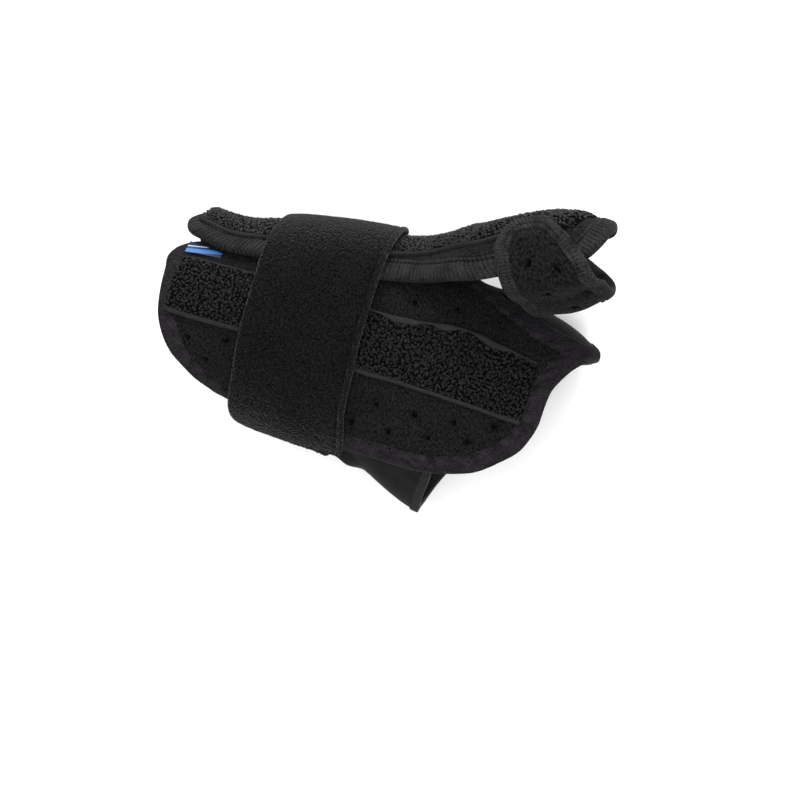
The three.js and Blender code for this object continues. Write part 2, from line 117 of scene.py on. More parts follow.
DORSAL_DISTAL_REAR = [
    (96, 96), (109, 70), (115.3, 56), (113.5, 47), (107, 38.5),
]
DORSAL_REAR = [
    (-62, 58), (-30, 58), (0, 60), (25, 62), (40, 66), (55, 74), (70, 73), (80, 61), (88, 45), (96, 37),
    (107, 38.5),
]
RADIAL_OUTLINE = [
    (-61.5, 15), (-59, 19.5), (-50, 22.5), (-40, 24.5), (-25, 27.5), (0, 29.4), (23, 29.7), (40, 29.4),
    (57, 30.6), (73, 31.6), (90, 31.6), (99, 30.4), (105, 28), (109, 25), (111.3, 21.5), (113.6, 16.5),
    (115.2, 11), (115.9, 4), (115.4, -4), (113.2, -11.5), (108.5, -17), (101, -21), (92, -23), (80, -23.5),
    (60, -24), (40, -21), (20, -19.5), (0, -19.5), (-30, -19), (-44, -16.5), (-50, -12), (-54.5, -3),
    (-59, 7),
]
RADIAL_CORNERS = [(-50, -12), (-60, 17.5), (110, 23.8), (110, -15.5)]
THUMB_STRAP_OUTLINE = [
    (90.5, 13.8), (86, 14.3), (83, 16.5), (80.8, 20), (79.5, 24), (79, 28.5), (79.4, 34), (80.2, 40),
    (81, 48), (82.5, 56), (84, 66), (85, 78), (86, 91), (87, 101), (89, 105.5), (93, 104.5), (97.5, 98.5),
    (102, 90), (106.5, 80), (110, 70), (112.5, 60), (113.6, 50), (113.6, 41), (112.8, 34), (111.2, 28.5),
    (108.6, 23.2), (105, 18.9), (101, 16), (96, 14.2),
]
THUMB_STRAP_CORNERS = [(79.4, 24.5), (88, 103), (108, 76), (106, 20)]

# Tapes and the wrist strap: station, first edge, second edge.
VOLAR_LOOP = [
    (-57, 0.5, 24), (-52, 0, 25), (-37, -0.8, 24.5), (-27, -2, 23), (0, -4.5, 21), (26, -6, 20),
    (43, -2.5, 24), (58, 0.5, 29.5), (68, 1.5, 31), (79, 2, 30), (89, 2, 28.5), (96, 2.2, 28),
]
RADIAL_LOOP = [
    (-56, -8, 15), (-50, -8, 16), (-38, -7.5, 18), (-27, -7, 19.3), (24, -6.5, 18.6), (40, -6.5, 17.2),
    (60, -6.5, 16.8), (76, -6.5, 16.2), (97, -7, 15.2), (104, -6.5, 14.5), (110, -5, 12),
]
ULNAR_LOOP = [(-78, -12, 18), (-64, -15, 19.5), (-50, -16, 20), (-33, -14.5, 20)]
WRIST_STRAP = [
    (-41.8, -14, 22), (-40.5, -18, 27), (-38, -20.5, 28.6), (-32, -22, 28), (-22, -22, 26.2),
    (-7, -22.6, 25.8), (7, -23, 25), (19, -23.3, 25), (30, -24, 25), (40, -24, 25), (54, -22.6, 25.6),
    (65, -20, 25.4),
]
WRIST_STRAP_LEVEL = [
    (-60, 9.6), (-34, 9.6), (-26, 8.7), (-16, 7.6), (8, 7.6), (16, 8.4), (25, 10.2), (33, 11.5), (40, 11.7),
    (90, 11.7),
]
LABEL = [(-57.5, 27, 33), (-50, 27.8, 32.2), (-42.5, 28.2, 30.6)]

# Vent holes in straight rows: first x, first w, step in x, step in w, how many.
VOLAR_VENTS = [
    (38, -15, 16.3, 4.2, 4), (30, -27, 16, 4.9, 4), (41, 31.5, 17.3, 6.6, 2), (-45, -9, 16.3, 1.5, 5),
    (-36, -17.4, 16.3, 0.6, 4),
]
THUMB_VENTS = [(90, 30, 10.5, 1.2, 2), (94.5, 42, 12, 0, 2), (100, 54, 11, 0, 1)]


# Forms.
def along(rows, x):
    """Columns of the rows at x: cubics whose slope at a row is the chord between its neighbours."""
    a = np.asarray(rows, float)
    xs, f = a[:, 0], a[:, 1:]
    m = np.empty_like(f)
    m[1:-1] = (f[2:] - f[:-2]) / (xs[2:] - xs[:-2])[:, None]
    m[0] = (f[1] - f[0]) / (xs[1] - xs[0])
    m[-1] = (f[-1] - f[-2]) / (xs[-1] - xs[-2])
    x = np.asarray(x, float)
    i = np.clip(np.searchsorted(xs, x) - 1, 0, len(xs) - 2)
    h = xs[i + 1] - xs[i]
    t = ((x - xs[i]) / h)[..., None]
    h = h[..., None]
    out = (f[i] * (2 * t**3 - 3 * t**2 + 1) + m[i] * h * (t**3 - 2 * t**2 + t)
           + f[i + 1] * (3 * t**2 - 2 * t**3) + m[i + 1] * h * (t**3 - t**2))
    return [out[..., k] for k in range(f.shape[1])]


def ramp(t):
    """0 below 0, 1 above 1, and 3t^2 - 2t^3 between."""
    t = np.clip(t, 0, 1)
    return t * t * (3 - 2 * t)


def arrays(*values):
    """The values as arrays of numbers, all of one shape."""
    return np.broadcast_arrays(*(np.asarray(value, float) for value in values))


def section(x):
    """Cross-section of the limb: centre y, half width, corner radius, crown's half angle and crown radius."""
    radial, ulnar, corner, height = along(LIMB, x)
    half = (radial - ulnar) / 2
    turn = 2 * np.arctan2(height - 2 * corner, half - corner)
    crown = corner + (half - corner) / np.sin(turn)
    return (radial + ulnar) / 2, half, corner, turn, crown


def side_reach(x, level):
    """Width in the pattern from the middle of the palm side to the middle of the limb's side."""
    _, _, corner, turn, crown = section(x)
    return (crown + level) * turn + (corner + level) * (np.pi / 2 - turn)


def half_round(x):
    """Width in the pattern from the middle of the palm side to the middle of the rear."""
    _, half, corner, turn, crown = section(x)
    return (crown + CHART_RADIUS) * turn + (corner + CHART_RADIUS) * (np.pi - turn) + half - corner


def past_rear(rows):
    """Pattern places past the rear side, for widths counted from the thumb side."""
    a = np.asarray(rows, float)
    return np.stack([a[:, 0], a[:, 1] - 2 * half_round(a[:, 0])], -1)


def on_limb(x, w, d, level=CHART_RADIUS):
    """Point at width w round the limb, d outside the skin: an arc over the palm side, a corner arc, then the
    flat rear."""
    x, w, d = arrays(x, w, d)
    centre, half, corner, turn, crown = section(x)
    w = np.where(np.abs(w) > half_round(x), w - np.sign(w) * 2 * half_round(x), w)
    q, side = np.abs(w), np.where(w < 0, -1.0, 1.0)
    on_crown, on_corner = (crown + level) * turn, (corner + level) * (np.pi - turn)
    top = q < on_crown
    angle = np.where(top, q / (crown + level), turn + np.clip(q - on_crown, 0, on_corner) / (corner + level))
    flat = np.clip(q - on_crown - on_corner, 0, None)
    z0 = REST_LIFT + corner
    y0 = np.where(top, 0, half - corner - flat)
    z0 = np.where(top, z0 - (half - corner) / np.tan(turn), z0)
    reach = np.where(top, crown, corner) + d
    return np.stack([x, centre + side * (y0 + reach * np.sin(angle)), z0 + reach * np.cos(angle)], -1)


def on_thumb(x, v, d):
    """Point at width v round the thumb's axis, counted from its outer side over the palm side."""
    x, v, d = arrays(x, v, d)
    y, z, radius = along(THUMB, x)
    a, b = along(THUMB, x - 0.5), along(THUMB, x + 0.5)
    axis = np.stack([np.ones_like(x), b[0] - a[0], b[1] - a[1]], -1)
    axis /= np.linalg.norm(axis, axis=-1, keepdims=True)
    outward = np.stack([-axis[..., 1], axis[..., 0], 0 * x], -1)
    outward /= np.linalg.norm(outward, axis=-1, keepdims=True)
    up = np.cross(axis, outward)
    angle = (v / (radius + CHART_RADIUS))[..., None]
    reach = (radius + d)[..., None]
    return np.stack([x, y, z], -1) + reach * (np.cos(angle) * outward + np.sin(angle) * up)


def on_radial(x, v, d):
    """The arm's thumb side passing into the thumb's outer side. The near end stands 1.2 mm off the arm, and
    the part before the wrist strap another 1.7 mm."""
    x, v, d = arrays(x, v, d)
    level = CHART_RADIUS + RADIAL_BASE
    base = RADIAL_BASE + 1.2 * ramp((-42 - x) / 20) + 1.7 * ramp((-21 - x) / 9) * ramp((x + 66) / 16)
    arm = on_limb(x, side_reach(x, level) - v, d + base, level)
    start, end = THUMB_LEAVES
    share = ramp((x - start) / (end - start))[..., None]
    return (1 - share) * arm + share * on_thumb(x, v, d)


def lap(x, w):
    """Share of the lap lift of the volar panel over the dorsal panel's tucked-in edges."""
    ulnar_start = 24 - 10 * ramp((x - 20) / 30)
    ulnar = ramp((-w - ulnar_start) / 9) * ramp((x + 26) / 10)
    web = 1.15 * ramp((w - 22) / 9) * ramp((x - 76) / 9)
    return np.maximum(ulnar, web)


def bulge(x, w):
    """Share of the dorsal panel's bulge on the ulnar side, under the strap's closing tape."""
    return ramp((-w - 46) / 6) * ramp((84 + w) / 20) * ramp((x + 28) / 8) * ramp((38 - x) / 10)


def dorsal_level(x, w):
    return AIR + WRIST_BULGE * bulge(x, w)


def volar_level(x, w):
    return AIR + LAP_LIFT * lap(x, w)


def volar_top(x, w):
    return volar_level(x, w) + VOLAR_THICK


def ulnar_loop_level(x, w):
    """Level of the closing tape, which passes from the volar panel down to the dorsal panel."""
    share = ramp((-w - 45) / 6)
    return (1 - share) * (volar_top(x, w) + 2 * AIR) + share * (dorsal_level(x, w) + DORSAL_THICK + 3 * AIR)


def thumb_strap_level(x, v):
    """Level by the angle round the thumb: low on the thumb, up over the radial panel at both ends, and 2.2 mm
    further up at the round end."""
    turn = v / (along(THUMB, x)[2] + CHART_RADIUS)
    lifted = np.maximum(ramp((2.33 - turn) / 0.58), ramp((turn - 4.3) / 0.5))
    return 6.7 * lifted - 1.2 + 2.2 * ramp((1.41 - turn) / 0.39)


def strap_level(_, w):
    return along(WRIST_STRAP_LEVEL, w)[0]


# Flat-pattern curves and grids.
def curve(rows, steps, closed=False):
    """Points at equal steps on a centripetal Catmull-Rom curve through the rows."""
    p = np.asarray(rows, float)
    if closed:
        p = np.vstack([p[-1], p, p[0], p[1]])
    else:
        p = np.vstack([2 * p[0] - p[1], p, 2 * p[-1] - p[-2]])
    fine = []
    for a, b, c, d in zip(p[:-3], p[1:-2], p[2:-1], p[3:]):
        t0 = 0.0
        t1 = t0 + np.sqrt(np.hypot(*(b - a)))
        t2 = t1 + np.sqrt(np.hypot(*(c - b)))
        t3 = t2 + np.sqrt(np.hypot(*(d - c)))
        t = np.linspace(t1, t2, 24, endpoint=False)[:, None]
        ab = ((t1 - t) * a + (t - t0) * b) / (t1 - t0)
        bc = ((t2 - t) * b + (t - t1) * c) / (t2 - t1)
        cd = ((t3 - t) * c + (t - t2) * d) / (t3 - t2)
        abc = ((t2 - t) * ab + (t - t0) * bc) / (t2 - t0)
        bcd = ((t3 - t) * bc + (t - t1) * cd) / (t3 - t1)
        fine.append(((t2 - t) * abc + (t - t1) * bcd) / (t2 - t1))
    fine = np.vstack([*fine, p[-2][None]])
    return resample(fine, steps)


def run_along(p):
    """Distance along a polyline at each of its points."""
    return np.concatenate([[0], np.cumsum(np.hypot(*np.diff(p, axis=0).T))])


def placed(p, at):
    """Points of a polyline at these distances along it."""
    return np.stack([np.interp(at, run_along(p), p[:, k]) for k in range(2)], -1)


def resample(p, steps):
    """The polyline's points again, at equal steps."""
    return placed(p, np.linspace(0, run_along(p)[-1], steps + 1))


def outline(rows):
    return curve(rows, 960, closed=True)[:-1]


def inset(p, distance, share=None):
    """The closed outline moved inwards along its smoothed normal, without the parts that then lie nearer to
    it. share(x) scales the distance."""
    reach = max(1, len(p) // 110)
    t = np.roll(p, -reach, 0) - np.roll(p, reach, 0)
    t /= np.hypot(*t.T)[:, None]
    q = np.roll(p, -1, 0)
    inward = np.sign(np.sum(p[:, 0] * q[:, 1] - q[:, 0] * p[:, 1]))
    by = distance * (np.ones(len(p)) if share is None else share(p[:, 0]))
    moved = p + inward * by[:, None] * np.stack([-t[:, 1], t[:, 0]], -1)
    away = np.hypot(moved[:, None, 0] - p[None, ::2, 0], moved[:, None, 1] - p[None, ::2, 1]).min(1)
    return moved[away > 0.93 * by - 0.01]


def sides(p, corners):
    """The four sides of the closed outline between its corners."""
    at = [int(np.argmin(np.hypot(*(p - c).T))) for c in np.asarray(corners, float)]
    out = []
    for k in range(4):
        span = (at[(k + 1) % 4] - at[k]) % len(p)
        out.append(p[(at[k] + np.arange(span + 1)) % len(p)])
    return out


def between(low, high, start, end, columns, rows):
    """Grid over the area between four edges: each place is the sum of the two straight blends less the
    corners' blend."""
    low, high = resample(low, columns), resample(high, columns)
    start, end = resample(start, rows), resample(end, rows)
    s = np.linspace(0, 1, columns + 1)[:, None, None]
    t = np.linspace(0, 1, rows + 1)[None, :, None]
    return ((1 - t) * low[:, None] + t * high[:, None] + (1 - s) * start[None] + s * end[None]
            - (1 - s) * (1 - t) * low[0] - s * (1 - t) * low[-1] - (1 - s) * t * high[0] - s * t * high[-1])


def inside(p, corners, length, width, step):
    """Grid over the area inside an outline, which is about length by width mm, in cells of about step mm."""
    a, b, c, d = sides(p, corners)
    return between(b, d[::-1], a[::-1], c, int(length / step), int(width / step))


def tape(rows, columns, count, across=False):
    """Grid of a tape; across says that its stations run along w."""
    s = np.linspace(rows[0][0], rows[-1][0], columns + 1)
    a, b = along(rows, s)
    edge = a[:, None] + (b - a)[:, None] * np.linspace(0, 1, count + 1)
    station = np.repeat(s[:, None], count + 1, 1)
    return np.stack([edge, station] if across else [station, edge], -1)


def lumps(x, w, size, seed):
    """Smooth random heights from -1 to 1, size mm apart: seeded values on a square lattice, blended by
    ramp."""
    n = 256
    table = np.random.default_rng(seed).uniform(-1, 1, (n, n))
    i, j = np.floor(x / size).astype(int), np.floor(w / size).astype(int)
    s, t = ramp(x / size - i), ramp(w / size - j)
    near = (1 - t) * table[i % n, j % n] + t * table[i % n, (j + 1) % n]
    far = (1 - t) * table[(i + 1) % n, j % n] + t * table[(i + 1) % n, (j + 1) % n]
    return (1 - s) * near + s * far


def from_edge(x, w, edge):
    """Distance in the pattern from each place to the nearest point of an outline, in parts that fit in
    memory."""
    x, w = np.broadcast_arrays(x, w)
    flat = np.stack([x.ravel(), w.ravel()], -1)
    parts = [np.hypot(q[:, None, 0] - edge[None, ::4, 0], q[:, None, 1] - edge[None, ::4, 1]).min(1)
             for q in np.array_split(flat, max(1, len(flat) // 4000))]
    return np.concatenate(parts).reshape(x.shape)


# Meshes.
def build(name, points, quads, uv, material, shade):
    """A mesh object in metres from points in mm. uv holds a place in mm for each vertex, and shade is darker
    below 0 and lighter above it."""
    mesh = bpy.data.meshes.new(name)
    faces = np.asarray(quads, np.int32)
    mesh.vertices.add(len(points))
    mesh.vertices.foreach_set("co", (np.asarray(points) / 1000).astype(np.float32).ravel())
    mesh.loops.add(faces.size)
    mesh.loops.foreach_set("vertex_index", faces.ravel())
    mesh.polygons.add(len(faces))
    mesh.polygons.foreach_set("loop_start", np.arange(len(faces), dtype=np.int32) * 4)
    mesh.update(calc_edges=True)
    layer = mesh.uv_layers.new(name="UVMap")
    layer.data.foreach_set("uv", (np.asarray(uv)[faces.ravel()] / 1000).astype(np.float32).ravel())
    tone = mesh.attributes.new("shade", "FLOAT", "POINT")
    tone.data.foreach_set("value", shade.astype(np.float32))
    mesh.validate()
    mesh.shade_smooth()
    piece = bpy.data.objects.new(name, mesh)
    bpy.context.scene.collection.objects.link(piece)
    mesh.materials.append(material)
    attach(piece, "root")
    return piece


def facing_out(points, quads):
    """The quads, turned over if their volume comes out below zero."""
    p = points[quads]
    volume = np.einsum("ij,ij->i", p[:, 0], np.cross(p[:, 1], p[:, 2])).sum()
    volume += np.einsum("ij,ij->i", p[:, 0], np.cross(p[:, 2], p[:, 3])).sum()
    return quads if volume > 0 else quads[:, ::-1]


def opened(grid, vents):
    """The grid drawn out to a round hole at each vent, and which of its places are the hole's floor. Rings
    of places round a vent keep their directions; the rim's gets the vent's radius, and the outer ones fade
    back."""
    g = grid.copy()
    floor_places = np.zeros(grid.shape[:2], bool)
    reach = HOLE_RINGS + FADE_RINGS
    offsets = np.arange(-reach, reach + 1)
    a, b = np.meshgrid(offsets, offsets, indexing="ij")
    ring = np.maximum(np.abs(a), np.abs(b))
    for vent in vents:
        i, j = np.unravel_index(np.argmin(np.hypot(*(grid - vent).transpose(2, 0, 1))), grid.shape[:2])
        if min(i, j, grid.shape[0] - 1 - i, grid.shape[1] - 1 - j) < reach:
            continue
        window = np.s_[i - reach:i + reach + 1, j - reach:j + reach + 1]
        step_i, step_j = (grid[i + 1, j] - grid[i - 1, j]) / 2, (grid[i, j + 1] - grid[i, j - 1]) / 2
        way = a[..., None] * step_i + b[..., None] * step_j
        way /= np.maximum(np.hypot(way[..., 0], way[..., 1]), 1e-6)[..., None]
        cell = (np.hypot(*step_i) + np.hypot(*step_j)) / 2
        outside = VENT_RADIUS + (ring - HOLE_RINGS) * cell
        radius = np.where(ring < HOLE_RINGS, ring * VENT_FLOOR_RADIUS, outside)
        share = ramp((reach - ring) / FADE_RINGS)[..., None]
        g[window] = (1 - share) * grid[window] + share * (vent + radius[..., None] * way)
        floor_places[window] |= ring < HOLE_RINGS
    return g, floor_places


def cloth(name, grid, form, inner, outer, material, rim, vents=(), shade=None, side_steps=2):
    """Closed cloth over a grid of pattern places: a face at the outer level, one at the inner level, and
    round edges. An edge's section is half an ellipse that swells out by rim mm. Round each vent the outer
    face sinks in a funnel to a hole, which the lining closes."""
    grid, hole = opened(grid, vents)
    m, n = grid.shape[:2]
    x, w = grid[..., 0], grid[..., 1]
    low, high = inner(x, w) + 0 * x, outer(x, w) + 0 * x
    tone = 0 * x if shade is None else shade(x, w) + 0 * x
    for vent in vents:
        past = np.maximum(np.hypot(x - vent[0], w - vent[1]) - VENT_RADIUS, 0)
        high = high - VENT_SINK * np.exp(-past)
        # Painted shade: the face darkens towards the vent's funnel.
        tone = tone - VENT_SHADE * np.exp(-past / 0.9)
    high = np.where(hole, low + LINING, high)
    index = np.arange(m * n).reshape(m, n)
    face = np.stack([index[:-1, :-1], index[1:, :-1], index[1:, 1:], index[:-1, 1:]], -1).reshape(-1, 4)
    border = np.concatenate([index[:-1, 0], index[-1, :-1], index[:0:-1, -1], index[0, :0:-1]])
    out = np.zeros((m, n, 2))
    out[0] += grid[0] - grid[1]
    out[-1] += grid[-1] - grid[-2]
    out[:, 0] += grid[:, 0] - grid[:, 1]
    out[:, -1] += grid[:, -1] - grid[:, -2]
    out = out.reshape(-1, 2)[border]
    out /= np.hypot(*out.T)[:, None]
    bottom, top = low.ravel()[border], high.ravel()[border]
    points = [form(x, w, high).reshape(-1, 3), form(x, w, low).reshape(-1, 3)]
    flat_grid, tone = grid.reshape(-1, 2), tone.ravel()
    places, tones = [flat_grid] * 2, [tone, tone - INNER_SHADE]
    rings = [border]
    for step in range(1, side_steps + 1):
        angle = np.pi * step / (side_steps + 1)
        place = flat_grid[border] + rim * np.sin(angle) * out
        points.append(form(*place.T, (top + bottom) / 2 + (top - bottom) / 2 * np.cos(angle)))
        places.append(place)
        tones.append(np.maximum(tone[border], EDGE_SHADE))
        rings.append(2 * m * n + (step - 1) * len(border) + np.arange(len(border)))
    rings.append(border + m * n)
    quads = [face, face[:, ::-1] + m * n]
    for upper, lower in zip(rings[:-1], rings[1:]):
        quads.append(np.stack([np.roll(upper, -1), upper, lower, np.roll(lower, -1)], -1))
    points = np.concatenate(points)
    quads = facing_out(points, np.concatenate(quads))
    return build(name, points, quads, np.concatenate(places), material, np.concatenate(tones))


def bead(name, edge, corners, width, form, inner, outer, step, material, profile, relief, share=None,
         worn=None):
    """Closed ring between an outline and the same moved inwards: profile holds its section's points as
    across and height, both from 0 to 1. relief(along, across) adds mm to the upper side, and its lift also
    sets the shade: painted light on the rises and painted shade in the dips. worn(x, w) adds a painted
    highlight to the outer edge. The uv is along the ring and across it."""
    spacing = np.hypot(*(edge[1] - edge[0]))
    counts = [max(8, round(len(side) * spacing / step)) for side in sides(edge, corners)]
    lines, tones = [], []

    def ring(line):
        parts = zip(sides(line, corners), counts)
        return np.concatenate([resample(part, count)[:-1] for part, count in parts])

    run = run_along(ring(edge))
    for across, height in profile:
        q = ring(inset(edge, across * width, share))
        lift = relief(run, across * width) * ramp((height - 0.3) / 0.4)
        low, high = inner(*q.T), outer(*q.T)
        lines.append(form(*q.T, low + (high - low) * height + lift))
        # Painted highlight of the folded outer edge, where worn(x, w) gives one.
        painted_edge_highlight = 0 if worn is None or across > 0.12 or height < 0.3 else worn(*q.T)
        # Painted light and shade: four times the relief's lift, lighter on the rises and darker in the dips.
        tones.append(4 * lift + painted_edge_highlight)
    points = np.stack(lines, 1)
    m, k = points.shape[:2]
    i, j = np.meshgrid(np.arange(m), np.arange(k), indexing="ij")
    around, on = (i + 1) % m, (j + 1) % k
    quads = np.stack([i * k + j, around * k + j, around * k + on, i * k + on], -1).reshape(-1, 4)
    across_mm = np.array([across * width for across, _ in profile])
    uv = np.stack(np.broadcast_arrays(run[:, None], across_mm), -1).reshape(-1, 2)
    points = points.reshape(-1, 3)
    return build(name, points, facing_out(points, quads), uv, material, np.stack(tones, 1).ravel())


def strands(name, lines, radius, material, shade):
    """One closed tube along each centre line; lines is strand, point, xyz in mm, and radius is one value
    for each strand. A section is four points square to the line, and the first and last sections draw
    together."""
    around = 4
    n, rings = lines.shape[:2]
    tangent = np.gradient(lines, axis=1)
    tangent /= np.maximum(np.linalg.norm(tangent, axis=-1, keepdims=True), 1e-9)
    side = np.cross(tangent, np.array([0.31, 0.17, 0.93]))
    side /= np.maximum(np.linalg.norm(side, axis=-1, keepdims=True), 1e-6)
    other = np.cross(side, tangent)
    angle = np.linspace(0, 2 * np.pi, around, endpoint=False)[:, None]
    drawn = np.where(np.isin(np.arange(rings), (0, rings - 1)), 0.45, 1)[:, None, None]
    thick = np.broadcast_to(radius, n)[:, None, None, None] * drawn
    around_line = np.cos(angle) * side[:, :, None] + np.sin(angle) * other[:, :, None]
    points = lines[:, :, None] + thick * around_line
    base = np.arange(n)[:, None, None] * rings * around
    i, j = np.arange(rings - 1)[None, :, None], np.arange(around)[None, None, :]
    on = (j + 1) % around
    quads = np.stack([base + i * around + j, base + i * around + on, base + (i + 1) * around + on,
                      base + (i + 1) * around + j], -1).reshape(-1, 4)
    first = base[:, 0] + np.arange(around)[::-1]
    last = base[:, 0] + (rings - 1) * around + np.arange(around)
    points = points.reshape(-1, 3)
    run = np.broadcast_to(np.linspace(0, 3, rings)[None, :, None], (n, rings, around)).reshape(-1)
    uv = np.stack([run, np.repeat(np.arange(n) * 1.7, rings * around)], -1)
    tone = np.repeat(np.broadcast_to(shade, n), rings * around)
    quads = facing_out(points, np.concatenate([quads, first, last]))
    return build(name, points, quads, uv, material, tone)


def frame_at(form, level, x, w):
    """Point on a form's surface with its outward, along-x and along-w directions."""
    base = form(x, w, level(x, w))
    up = form(x, w, level(x, w) + 1) - base
    ex = form(x + 0.5, w, level(x, w)) - base
    ex /= np.linalg.norm(ex, axis=-1, keepdims=True)
    return base, up, ex, np.cross(up, ex)


def curls(name, places, form, level, size, yarn):
    """Loop pile. A loop's centre line is an open flattened ring that rises, leans over and sinks back: its
    plan is (cos, 0.5 sin) of a turn of 216 to 306 degrees, its height a half sine to the power 0.8."""
    x, w = places.T
    n = len(places)
    base, up, ex, ew = frame_at(form, level, x, w)
    t = np.linspace(0, 1, 6)
    s = (size * rng.uniform(0.75, 1.25, n))[:, None]
    turn = 2 * np.pi * rng.uniform(0.6, 0.85, n)[:, None] * (t - 0.5)[None]
    spin, lean = rng.uniform(0, 2 * np.pi, (2, n, 1))
    a, b = s * np.cos(turn), s * 0.5 * np.sin(turn)
    height = (s * rng.uniform(0.6, 1.1, n)[:, None]) * np.sin(np.pi * t)[None] ** 0.8 - 0.15
    du = a * np.cos(spin) - b * np.sin(spin) + 0.35 * height * np.cos(lean)
    dw = a * np.sin(spin) + b * np.cos(spin) + 0.35 * height * np.sin(lean)
    lines = base[:, None] + du[..., None] * ex[:, None] + dw[..., None] * ew[:, None]
    lines = lines + height[..., None] * up[:, None]
    return strands(name, lines, yarn * rng.uniform(0.85, 1.2, n), M_YARN, rng.uniform(-0.6, 0.6, n))


def stitches(name, path, form, level, pitch, length, lean, yarn, shade, jitter=0.2, only=None):
    """Short arched threads set along a path in the pattern, each turned lean radians from the path's
    direction."""
    at = np.arange(pitch / 2, run_along(path)[-1], pitch)
    at = at + rng.uniform(-jitter, jitter, len(at)) * pitch
    p, q = placed(path, at), placed(path, at + 0.5)
    if only is not None:
        kept = only(*p.T)
        p, q = p[kept], q[kept]
    angle = np.arctan2(*(q - p).T[::-1]) + lean * np.where(np.arange(len(p)) % 2, -1, 1)
    angle = angle + rng.uniform(-jitter, jitter, len(p))
    t = np.linspace(-0.5, 0.5, 6)[None]
    x = p[:, :1] + length * t * np.cos(angle)[:, None]
    w = p[:, 1:] + length * t * np.sin(angle)[:, None]
    lines = form(x, w, level(x, w) + yarn * (1.6 * np.cos(np.pi * t) - 0.3))
    return strands(name, lines, yarn, M_STITCH, shade)


# Materials.
def linear(text):
    """sRGB hex to linear red, green, blue and 1."""
    c = np.array([int(text[i:i + 2], 16) for i in (1, 3, 5)]) / 255
    return (*np.where(c <= 0.04045, c / 12.92, ((c + 0.055) / 1.055) ** 2.4), 1.0)


def node(tree, kind, **values):
    """Adds one shader node and gives its outputs. set_NAME is a setting, iN the socket of that number, and
    any other name a socket. A value that is a socket is linked."""
    made = tree.nodes.new("ShaderNode" + kind)
    for key, value in values.items():
        if key.startswith("set_"):
            setattr(made, key[4:], value)
            continue
        numbered = key[0] == "i" and key[1:].isdigit()
        socket = made.inputs[int(key[1:]) if numbered else key.replace("_", " ")]
        if isinstance(value, bpy.types.NodeSocket):
            tree.links.new(value, socket)
        else:
            socket.default_value = value
    return made.outputs


def fabric(name, dark, light, rough, sheen, gloss, depth_mm, grains, ribs=(), spread=0.2, shade_weight=0.35,
           bands=()):
    """Cloth whose colour runs from dark to light with a height field, which makes its fine relief too,
    depth_mm high. The field is a sum of noise grains, rows of size in mm along and across and weight, and
    of sine ribs, rows of the shares of u and v, the period in mm, the weight, and a sway in mm with its own
    period. Then the field is spread about its middle, and the piece's own shade is added. bands are
    stripes: v where they cross u = 0, their slope, half their width in mm, and colour."""
    made = bpy.data.materials.new(name)
    made.use_nodes = True
    tree = made.node_tree
    tree.nodes.clear()
    place = node(tree, "UVMap", set_uv_map="UVMap")[0]
    mm = node(tree, "VectorMath", set_operation="SCALE", i0=place, Scale=1000.0)[0]
    u, v, _ = node(tree, "SeparateXYZ", Vector=mm)
    field = 0.0
    for size_u, size_v, weight in grains:
        per_mm = (1 / size_u, 1 / size_v, 1)
        cells = node(tree, "VectorMath", set_operation="MULTIPLY", i0=mm, i1=per_mm)[0]
        noise = node(tree, "TexNoise", Vector=cells, Scale=1.0, Detail=2.0, Roughness=0.6)[0]
        field = node(tree, "Math", set_operation="MULTIPLY_ADD", i0=noise, i1=weight, i2=field)[0]
    for share_u, share_v, period, weight, sway, sway_period in ribs:
        turned = node(tree, "Math", set_operation="MULTIPLY", i0=u, i1=2 * np.pi / sway_period)[0]
        swayed = node(tree, "Math", set_operation="SINE", i0=turned)[0]
        shares = (share_u, share_v, 0)
        run = node(tree, "VectorMath", set_operation="DOT_PRODUCT", i0=mm, i1=shares)["Value"]
        run = node(tree, "Math", set_operation="MULTIPLY_ADD", i0=swayed, i1=sway, i2=run)[0]
        angle = node(tree, "Math", set_operation="MULTIPLY", i0=run, i1=2 * np.pi / period)[0]
        wave = node(tree, "Math", set_operation="SINE", i0=angle)[0]
        field = node(tree, "Math", set_operation="MULTIPLY_ADD", i0=wave, i1=weight, i2=field)[0]
    value = node(tree, "MapRange", Value=field, From_Min=0.5 - spread, From_Max=0.5 + spread)[0]
    shade = node(tree, "Attribute", set_attribute_name="shade")["Fac"]
    tone = node(tree, "Math", set_operation="MULTIPLY_ADD", set_use_clamp=True, i0=shade, i1=shade_weight,
                i2=value)[0]
    colour = node(tree, "Mix", set_data_type="RGBA", i0=tone, i6=linear(dark), i7=linear(light))[2]
    for middle, slope, half, stripe in bands:
        away = node(tree, "Math", set_operation="MULTIPLY_ADD", i0=u, i1=-slope, i2=v)[0]
        away = node(tree, "Math", set_operation="SUBTRACT", i0=away, i1=middle)[0]
        away = node(tree, "Math", set_operation="ABSOLUTE", i0=away)[0]
        within = node(tree, "Math", set_operation="LESS_THAN", i0=away, i1=half)[0]
        colour = node(tree, "Mix", set_data_type="RGBA", i0=within, i6=colour, i7=linear(stripe))[2]
    bump = node(tree, "Bump", Strength=1.0, Distance=depth_mm / 1000, Height=value)[0]
    shader = node(tree, "BsdfPrincipled", Base_Color=colour, Roughness=rough, Normal=bump,
                  Sheen_Weight=sheen, Sheen_Roughness=0.28, Specular_IOR_Level=gloss)[0]
    node(tree, "OutputMaterial", Surface=shader)
    return made


# Velour is nylon knit brushed up on foam: black, matt, with a grain of about 1 mm that lies along the nap.
M_VELOUR = fabric("velour, brushed nylon knit on foam", "#010101", "#222223", 0.95, 0.04, 0.03, 0.6,
                  ((0.75, 1.1, 0.65), (1.4, 1.8, 0.25), (5, 6, 0.1)), spread=0.15)
